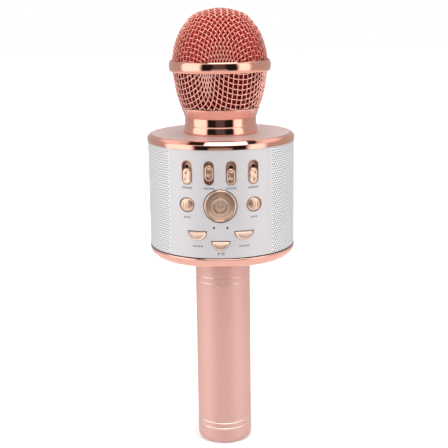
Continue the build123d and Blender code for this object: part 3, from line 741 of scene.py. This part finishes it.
def perforated_side(verts, faces, side):
    """One perforated side of the sleeve: rows of round holes, every second row moved by half a pitch. The
    grid has a corner at every half pitch across and every row."""
    height = (SLEEVE_TOP - SLEEVE_BOTTOM) / HOLE_ROWS
    corner, rings = {}, {}
    for w, radius in enumerate((DRUM_R, DRUM_R - SLEEVE_WALL)):
        for m in range(HOLE_ROWS + 1):
            for c in range(HOLE_COLUMNS + 1):
                corner[w, m, c] = len(verts)
                verts.append(polar(side * (HOLE_START + c * HOLE_STEP), radius, SLEEVE_BOTTOM + m * height))
        for m in range(HOLE_ROWS):
            middle_z = SLEEVE_BOTTOM + (m + 0.5) * height
            for c in range(1 + m % 2, HOLE_COLUMNS, 2):
                rings[w, m, c] = len(verts)
                middle = HOLE_START + c * HOLE_STEP
                for s in range(HOLE_SIDES):
                    a = 2 * math.pi * s / HOLE_SIDES
                    turn = math.degrees(HOLE_R * math.cos(a) / DRUM_R)
                    verts.append(polar(side * (middle + turn), radius, middle_z + HOLE_R * math.sin(a)))

    def add_face(corners, inside=False):
        faces.append(tuple(reversed(corners)) if inside != (side < 0) else tuple(corners))

    def add_quad(*keys, inside=False):
        add_face([corner[key] for key in keys], inside)

    for (w, m, c), ring in rings.items():
        rim = [corner[w, m, c + 1], corner[w, m + 1, c + 1], corner[w, m + 1, c],
               corner[w, m + 1, c - 1], corner[w, m, c - 1], corner[w, m, c]]
        for k in range(6):
            hole = [ring + (2 * k - 2 + s) % HOLE_SIDES for s in (2, 1, 0)]
            add_face([rim[k], rim[(k + 1) % 6], *hole], w == 1)
        if w == 0:
            back = rings[1, m, c]
            for s in range(HOLE_SIDES):
                t = (s + 1) % HOLE_SIDES
                add_face([ring + s, ring + t, back + t, back + s])
    top, last = HOLE_ROWS, HOLE_COLUMNS
    for m in range(top):
        for w in (0, 1):
            for c in (0, last - 1) if m % 2 else ():
                add_quad((w, m, c), (w, m, c + 1), (w, m + 1, c + 1), (w, m + 1, c), inside=w == 1)
        add_quad((0, m, 0), (0, m + 1, 0), (1, m + 1, 0), (1, m, 0))
        add_quad((0, m, last), (1, m, last), (1, m + 1, last), (0, m + 1, last))
    for c in range(last):
        add_quad((0, 0, c), (1, 0, c), (1, 0, c + 1), (0, 0, c + 1))
        add_quad((0, top, c), (0, top, c + 1), (1, top, c + 1), (1, top, c))


def wall_segment(start, end, steps):
    """A plain closed stretch of the sleeve's wall between two angles."""
    verts, faces = [], []
    for i in range(steps + 1):
        angle = start + (end - start) * i / steps
        for radius in (DRUM_R, DRUM_R - SLEEVE_WALL):
            for z in (SLEEVE_BOTTOM, SLEEVE_TOP):
                verts.append(polar(angle, radius, z))
    for i in range(steps):
        a, b = 4 * i, 4 * i + 4
        faces += [(a, b, b + 1, a + 1), (a + 2, a + 3, b + 3, b + 2), (a + 1, b + 1, b + 3, a + 3),
                  (a, a + 2, b + 2, b)]
    last = 4 * steps
    faces += [(0, 1, 3, 2), (last, last + 2, last + 3, last + 1)]
    return verts, faces


def pill(half_w, half_h, steps=10, side=0):
    """A tall rounded outline with half-round ends and extra points along its straight sides."""
    reach = half_h - half_w
    half = [(half_w * math.cos(math.pi * i / steps), reach + half_w * math.sin(math.pi * i / steps))
            for i in range(steps + 1)]
    half += [(-half_w, reach * (1 - 2 * i / (side + 1))) for i in range(1, side + 1)]
    return half + [(-x, -z) for x, z in half]


def circle(radius, steps=48):
    """Points round a circle."""
    return [(radius * math.cos(2 * math.pi * i / steps), radius * math.sin(2 * math.pi * i / steps))
            for i in range(steps)]


def half_circle(radius, top, steps=40):
    """A half circle with its straight side on top, at a height."""
    return [(radius * math.cos(math.pi * (1 + i / steps)), top + radius * math.sin(math.pi * (1 + i / steps)))
            for i in range(steps + 1)]


def rectangle(half_w, half_h, radius=3.0):
    """A rectangle with round corners."""
    corners = [(half_w, half_h, radius), (-half_w, half_h, radius), (-half_w, -half_h, radius),
               (half_w, -half_h, radius)]
    return rounded(corners, 6)


def block(verts, faces, near, far):
    """Add a closed block between two outlines that have the same number of points."""
    start, count = len(verts), len(near)
    verts += near + far
    faces.append(tuple(range(start, start + count)))
    faces.append(tuple(reversed(range(start + count, start + 2 * count))))
    for i in range(count):
        j = (i + 1) % count
        faces.append((start + j, start + i, start + count + i, start + count + j))


def push(verts, faces, outline, x, z, span):
    """Add a closed block: an outline in front view pushed between the two y of a span."""
    near, far = ([(x + u, y, z + v) for u, v in outline] for y in span)
    block(verts, faces, near, far)


def cut_away(piece, verts, faces):
    """Subtract closed blocks from a piece."""
    tool = new_piece("cutter", verts, faces)
    cut = piece.modifiers.new("cut", "BOOLEAN")
    cut.operation = "DIFFERENCE"
    cut.solver = "EXACT"
    cut.object = tool
    bpy.context.view_layer.update()
    result = bpy.data.meshes.new_from_object(piece.evaluated_get(bpy.context.evaluated_depsgraph_get()))
    piece.modifiers.clear()
    piece.data = result
    bpy.data.objects.remove(tool)


def front_openings():
    """Blocks for the openings of the sliders, the buttons and the lights."""
    verts, faces = [], []
    for x in SLIDER_XS:
        push(verts, faces, pill(SLOT_HALF_W, SLOT_HALF_H), x, SLOT_Z, FRONT_CUT)
    push(verts, faces, circle(POWER_HOLE_R, 72), 0, POWER_Z, FRONT_CUT)
    for x in (-SKIP_X, SKIP_X):
        push(verts, faces, circle(SKIP_HOLE_R), x, SKIP_Z, FRONT_CUT)
    for x, z in ((-HALF_X, HALF_Z), (HALF_X, HALF_Z), (0, MIDDLE_HALF_Z)):
        push(verts, faces, half_circle(HALF_HOLE_R, HALF_HOLE_TOP), x, z, FRONT_CUT)
    for x in (-LED_X, LED_X):
        push(verts, faces, circle(LED_HOLE_R, 16), x, LED_Z, FRONT_CUT)
    return verts, faces


def sleeve():
    """The sleeve in four stretches: plain at the front and the rear, perforated at both sides."""
    end = HOLE_START + HOLE_COLUMNS * HOLE_STEP
    port = [], []
    push(*port, rectangle(PORT_HALF_W, PORT_HALF_H), 0, PORT_Z, REAR_CUT)
    for name, start, stop, openings in (("front", -HOLE_START, HOLE_START, front_openings()),
                                        ("rear", end, 360 - end, port)):
        piece = new_piece("sleeve_" + name, *wall_segment(start, stop, 70))
        cut_away(piece, *openings)
        piece.data.shade_smooth()
        piece.data.set_sharp_from_angle(angle=math.radians(35))
        place(piece, "silver_sleeve", ["speaker_sleeve"])
    for side, name in ((-1, "left"), (1, "right")):
        verts, faces = [], []
        perforated_side(verts, faces, side)
        piece = new_piece("sleeve_" + name, verts, faces)
        # The perforated sides get the lighter copy of the sleeve's silver: painted light
        place(piece, "silver_sleeve", ["speaker_sleeve"], material="lit_silver_side")
        # The walls of the holes are painted near-black: painted shade inside the holes
        second_material(piece, "hole_wall_painted_shade",
                        lambda face: abs(face.normal.xy.dot(face.center.xy.normalized())) < 0.5)


def speaker_cloth(side, name):
    """Black cloth glued behind the perforated side, with the slight waves of its threads."""
    across, up = 48, 40
    height = CLOTH_TOP - CLOTH_BOTTOM
    verts = []
    for i in range(across + 1):
        for j in range(up + 1):
            wave = 0.05 * math.sin(i * 0.9) * math.sin(j * 0.8)
            angle = side * (CLOTH_START + CLOTH_SPAN * i / across)
            verts.append(polar(angle, CLOTH_R + wave, CLOTH_BOTTOM + height * j / up))
    row = up + 1
    faces = [(i * row + j, (i + 1) * row + j, (i + 1) * row + j + 1, i * row + j + 1)[::side]
             for i in range(across) for j in range(up)]
    piece = new_piece("cloth_" + name, verts, faces)
    place(piece, "speaker_cloth", ["speaker_cloth_" + name])


# -------- controls

def relief(rings, back):
    """A closed button: the points of its back, then rings of points from its edge to its middle."""
    rings = [back] + rings
    count = len(back)
    verts = [point for ring in rings for point in ring]
    faces = []
    for k in range(len(rings) - 1):
        low, high = k * count, (k + 1) * count
        for i in range(count):
            j = (i + 1) % count
            faces.append((low + i, low + j, high + j, high + i))
    faces.append(tuple(range(len(verts) - count, len(verts))))
    faces.append(tuple(reversed(range(count))))
    return verts, faces


def front_of(node):
    """How far forward a CAD node reaches, in millimetres."""
    return -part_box(node)[0].y / MM


def knob(number, x, rest):
    """A slider knob: a long oval with two round dimples in its face, beside its middle line."""
    z = SLOT_Z + rest
    dimple_x, dimple_z, dimple_depth, dimple_spread = 0.35, 1.75, 0.3, 1.1
    edge = [(0.0, 0.8), (0.06, 0.5), (0.18, 0.28), (0.35, 0.12), (0.55, 0.04)]
    face = [(inset, 0.0) for inset in (0.8, 1.1, 1.4, 1.7, 2.0, 2.22)]
    rings = []
    for inset, drop in edge + face:
        ring = []
        for u, v in pill(KNOB_HALF_W - inset, KNOB_HALF_H - inset, 16, 14):
            upper = math.exp(-((u - dimple_x) ** 2 + (v - dimple_z) ** 2) / dimple_spread)
            lower = math.exp(-((u + dimple_x) ** 2 + (v + dimple_z) ** 2) / dimple_spread)
            ring.append(on_drum(x + u, z + v, KNOB_FRONT_R - drop - dimple_depth * (upper + lower)))
        rings.append(ring)
    back = [on_drum(x + u, z + v, BUTTON_BACK_R) for u, v in pill(KNOB_HALF_W, KNOB_HALF_H, 16, 14)]
    piece = new_piece(f"knob_{number}", *relief(rings, back), 50.0, outward=True)
    place(piece, "gold_control", [f"slider_knob_{number}"], f"slider_{number}")


def skip_button(body, x, way):
    """A round domed button that leans with the drum. Its raised chevrons point to +X when way is 1 and are
    painted dark bronze as shade.
    """
    lean = math.asin(x / DRUM_R)
    reach = DRUM_R + SKIP_PROUD - SKIP_DOME_R
    middle_x, middle_y = reach * math.sin(lean), -reach * math.cos(lean)

    def domed(u, v, lift):
        across = x + u - middle_x
        return (x + u, middle_y - math.sqrt((SKIP_DOME_R + lift) ** 2 - across ** 2 - v ** 2), SKIP_Z + v)

    edge = [(0.0, 0.6), (0.06, 0.38), (0.18, 0.2), (0.4, 0.07)]
    face = [(inset, 0.0) for inset in (0.7, 1.4, 2.2, 3.0, 3.5)]
    rings = [[domed(u, v, -drop) for u, v in circle(SKIP_R - inset, 64)] for inset, drop in edge + face]
    back = [(x + u, SKIP_BACK_Y, SKIP_Z + v) for u, v in circle(SKIP_R, 64)]
    verts, faces = relief(rings, back)
    plain = len(faces)
    chevron = [(-0.5, 1.5), (-0.05, 1.5), (1.1, 0), (-0.05, -1.5), (-0.5, -1.5), (0.65, 0)]
    chevrons = [[(u + shift, v) for u, v in chevron] for shift in (-1.2, 0.25)]
    for outline in chevrons + [bar(1.85, 0.4, 2.8)]:
        block(verts, faces, *([domed(way * u, v, lift) for u, v in outline] for lift in (0.1, -0.4)))
    piece = new_piece(body + "_cap", verts, faces, 40.0, outward=True)
    place(piece, "gold_control", [body + "_button"], body)
    # The chevrons are painted dark bronze: painted shade at the raised marks
    second_material(piece, "chevron_painted_shade", lambda polygon: polygon.index >= plain)


def half_button(body, x, z):
    """A half-round button with its straight edge on top, an even bevel and a slightly hollow face."""
    def inner(inset):
        r = HALF_R - inset
        start = math.asin(inset / r)
        angles = [math.pi + start + (math.pi - 2 * start) * i / 40 for i in range(41)]
        half = r * math.cos(start)
        straight = [(half * (1 - 2 * i / 12), -inset) for i in range(1, 12)]
        return [(r * math.cos(a), r * math.sin(a)) for a in angles] + straight

    bevel = [(0.0, 1.0), (0.06, 0.82), (0.6, 0.16), (0.68, 0.03), (0.76, 0.0)]
    hollow = [(0.9, 0.1), (1.3, 0.14), (1.7, 0.17), (2.1, 0.2), (2.3, 0.2)]
    rings = [[on_drum(x + u, z + v, HALF_FRONT_R - drop) for u, v in inner(inset)]
             for inset, drop in bevel + hollow]
    back = [on_drum(x + u, z + v, BUTTON_BACK_R) for u, v in inner(0.0)]
    piece = new_piece(body + "_cap", *relief(rings, back), 35.0, outward=True)
    place(piece, "gold_control", [body + "_button"], body, "satin_gold")


def round_power(radius, y):
    """A circle round the middle of the power button."""
    return [(u, y, POWER_Z + v) for u, v in circle(radius, 96)]


def power_ring():
    """The round rim of the power button and the dish that holds its plate."""
    front = front_of("power_button")
    profile = [(POWER_R, -1.3), (8.57, -0.7), (8.44, -0.34), (8.24, -0.1), (8.0, 0.0), (7.76, -0.08),
               (7.56, -0.28), (7.46, -0.6), (3.0, -0.6), (0.05, -0.6)]
    rings = [round_power(r, -(front + lift)) for r, lift in profile]
    shape = relief(rings, round_power(POWER_R, POWER_BACK_Y))
    piece = new_piece("power_rim", *shape, 40.0, outward=True)
    # The rim takes the polished, darker copy of the control gold: painted shade
    place(piece, "gold_control", ["power_button"], "power", "shaded_polished_gold")


def power_plate():
    """The spun face of the power button: a raised ring and a generic power sign inside it."""
    face = front_of("power_plate") - 0.22
    edge = [(PLATE_R, -0.35), (7.3, -0.2), (7.0, -0.12), (5.2, -0.02), (4.7, -0.04)]
    ring = [(4.55, 0.0), (4.42, 0.08), (4.3, 0.1), (4.1, 0.09), (3.95, 0.0)]
    middle = [(3.8, -0.03), (2.5, 0.0), (0.05, 0.04)]
    rings = [round_power(r, -(face + lift)) for r, lift in edge + ring + middle]
    verts, faces = relief(rings, round_power(PLATE_R, -(face - 0.6)))
    plain = len(faces)
    turns = [math.radians(125 + 290 * i / 40) for i in range(41)]
    sign = [(2.35 * math.cos(a), 2.35 * math.sin(a)) for a in turns]
    sign += [(1.85 * math.cos(a), 1.85 * math.sin(a)) for a in reversed(turns)]
    stroke = [(-0.25, 0.1), (0.25, 0.1), (0.25, 2.5), (-0.25, 2.5)]
    for outline in (sign, stroke):
        push(verts, faces, outline, 0, POWER_Z, (-(face + 0.2), -(face - 0.4)))
    piece = new_piece("power_face", verts, faces, 30.0, outward=True)
    place(piece, "brushed_plate", ["power_plate"], "power")
    second_material(piece, "satin_gold", lambda polygon: polygon.index >= plain)


def controls():
    """The four knobs and the six buttons."""
    for number, (x, rest) in enumerate(zip(SLIDER_XS, SLIDER_RESTS), 1):
        knob(number, x, rest)
    skip_button("previous", -SKIP_X, -1)
    skip_button("next", SKIP_X, 1)
    half_button("left", -HALF_X, HALF_Z)
    half_button("right", HALF_X, HALF_Z)
    half_button("middle", 0, MIDDLE_HALF_Z)
    power_ring()
    power_plate()


# -------- printed marks

def printed(verts, faces, outline, x, z):
    """Add a thin printed shape that lies on the sleeve's front."""
    count = len(outline)
    middle = (sum(u for u, _ in outline) / count, sum(v for _, v in outline) / count)
    start = len(verts)
    for radius in (DRUM_R + 0.02, DRUM_R - 0.05):
        verts += [on_drum(x + u, z + v, radius) for u, v in [middle] + outline]
    back = start + count + 1
    for i in range(1, count + 1):
        j = i % count + 1
        faces += [(start, start + i, start + j), (back, back + j, back + i),
                  (start + i, back + i, back + j, start + j)]


def bar(u, width, height):
    """A small upright bar centred at u."""
    return [(u - width / 2, -height / 2), (u - width / 2, height / 2), (u + width / 2, height / 2),
            (u + width / 2, -height / 2)]


def marks():
    """Generic marks in place of words: rows of small bars, and a play and pause sign."""
    verts, faces = [], []

    def row(x, z, count, pitch, width, height):
        for k in range(count):
            printed(verts, faces, bar(pitch * (k - (count - 1) / 2), width, height), x, z)

    for x in SLIDER_XS:
        row(x, SLIDER_MARKS_Z, 7, 0.8, 0.6, 1.0)
    for side in (-1, 1):
        row(side * SKIP_X, SKIP_MARKS_Z, 3, 1.2, 0.9, 0.9)
        row(side * HALF_X, HALF_MARKS_Z, 4, 1.4, 1.1, 0.8)
    printed(verts, faces, [(-1.7, 0.9), (-0.2, 0.0), (-1.7, -0.9)], 0, PLAY_Z)
    for u in (0.6, 1.5):
        printed(verts, faces, bar(u, 0.5, 1.8), 0, PLAY_Z)
    piece = new_piece("printed_marks", verts, faces, outward=True)
    place(piece, "black_plastic", material="grey_print")


# -------- camera and light

def rotation(degrees, axis):
    """A rotation about an axis."""
    return Matrix.Rotation(math.radians(degrees), 4, axis)


def camera():
    """A long lens just above the head's height, looking down at the drum, with a slight roll."""
    data = bpy.data.cameras.new("camera")
    data.sensor_width = 36.0
    data.lens = CAMERA_LENS
    data.clip_start = 0.01
    data.clip_end = 50.0
    view = bpy.data.objects.new("camera", data)
    stand = Matrix.Translation(Vector(CAMERA_PLACE) * MM)
    tilt = rotation(90 - CAMERA_PITCH, "X") @ rotation(CAMERA_ROLL, "Z")
    view.matrix_world = rotation(CAMERA_AZIMUTH, "Z") @ stand @ tilt
    scene.collection.objects.link(view)
    scene.camera = view


def ramp(tree, socket, span, stops):
    """A brightness by angle. The socket goes from 0 to 1 over a span of degrees with 0 in the middle, and
    stops are (degrees, level)."""
    node = add(tree, "ValToRGB", Fac=socket)
    elements = node.color_ramp.elements
    for k, (at, level) in enumerate(stops):
        element = elements[k] if k < 2 else elements.new(0.5 + at / span)
        element.position = 0.5 + at / span
        element.color = (level, level, level, 1)
    return node.outputs["Color"]


def blend(tree, factor, a, b):
    """A number between a and b. b may be a plain number."""
    return add(tree, "Mix", data_type="FLOAT", Factor=factor, A=a, B=b).outputs["Result"]


def studio_world():
    """A white backdrop for the camera. For everything else, a studio that is dark in front and has soft boxes
    at both sides and overhead. Polished metal mirrors it."""
    world = bpy.data.worlds.new("studio")
    scene.world = world
    world.use_nodes = True
    tree = world.node_tree
    tree.nodes.clear()
    x, y, z = add(tree, "SeparateXYZ", Vector=add(tree, "TexCoord").outputs["Generated"]).outputs
    angle = maths(tree, "ARCTAN2", x, maths(tree, "MULTIPLY", y, -1.0))
    round_share = maths(tree, "MULTIPLY_ADD", angle, 0.5 / math.pi, 0.5)
    dark, dim, box = 0.02, 0.57, 1.85
    left = [(-180, dim), (-98, dim), (-88, box), (-48, box), (-39, dark)]
    right = [(39, dark), (48, box), (68, box), (78, dim), (180, dim)]
    level = ramp(tree, round_share, 360, left + [(-18, dark), (-10, 0.11), (10, 0.11), (18, dark)] + right)
    low = ramp(tree, round_share, 360, left + [(-20, dark), (-17, 0.5), (17, 0.5), (20, dark)] + right)
    # The stripes overhead fan out from a point behind the microphone
    lean = maths(tree, "ARCTAN2", x, maths(tree, "SUBTRACT", 0.99, y))
    lean_share = maths(tree, "MULTIPLY_ADD", lean, 1 / math.pi, 0.5)
    ceiling = ramp(tree, lean_share, 180, [
        (-90, 0.75), (-28, 0.75), (-26, dark), (-13.2, dark), (-12.2, 4.0), (20.5, 4.0), (21.5, dark),
        (28.5, dark), (30.5, 0.75), (90, 0.75)])
    room = blend(tree, map_range(tree, z, -0.205, -0.165), low, level)
    room = blend(tree, map_range(tree, maths(tree, "MULTIPLY", z, -1.0), 0.30, 0.42), room, 1.0)
    room = blend(tree, map_range(tree, z, 0.50, 0.66), room, 1.15)
    room = blend(tree, map_range(tree, z, 0.80, 0.84), room, ceiling)
    backdrop = add(tree, "LightPath").outputs["Is Camera Ray"]
    light = add(tree, "Background", Color=(1, 1, 1, 1), Strength=blend(tree, backdrop, room, 1.0))
    add(tree, "OutputWorld", Surface=light.outputs["Background"])


def soft_light(name, spot, size, aim_z, power):
    """A square soft light aimed at the microphone's axis. Polished metal doesn't mirror it."""
    data = bpy.data.lights.new(name, "AREA")
    data.size = size
    data.energy = power
    light = bpy.data.objects.new(name, data)
    light.location = spot
    light.rotation_mode = "QUATERNION"
    light.rotation_quaternion = (Vector((0, 0, aim_z)) - Vector(spot)).to_track_quat("-Z", "Y")
    light.visible_glossy = False
    scene.collection.objects.link(light)


def studio():
    """The pale floor, the world and the lights."""
    half = FLOOR_HALF_W
    corners = [(-half, -half, 0), (half, -half, 0), (half, half, 0), (-half, half, 0)]
    floor = new_piece("floor", corners, [(0, 1, 2, 3)])
    floor.visible_glossy = False
    floor.data.materials.append(M["pale_floor"])
    studio_world()
    for light in LIGHTS:
        soft_light(*light)
    scene.view_settings.view_transform = "Standard"


camera()
dress_cad_nodes()
handle_barrel()
bottom_cap()
top_cap()
neck_collar()
grille_band()
dome_grille()
basket_grille()
foams()
sleeve()
speaker_cloth(-1, "left")
speaker_cloth(1, "right")
controls()
marks()
studio()
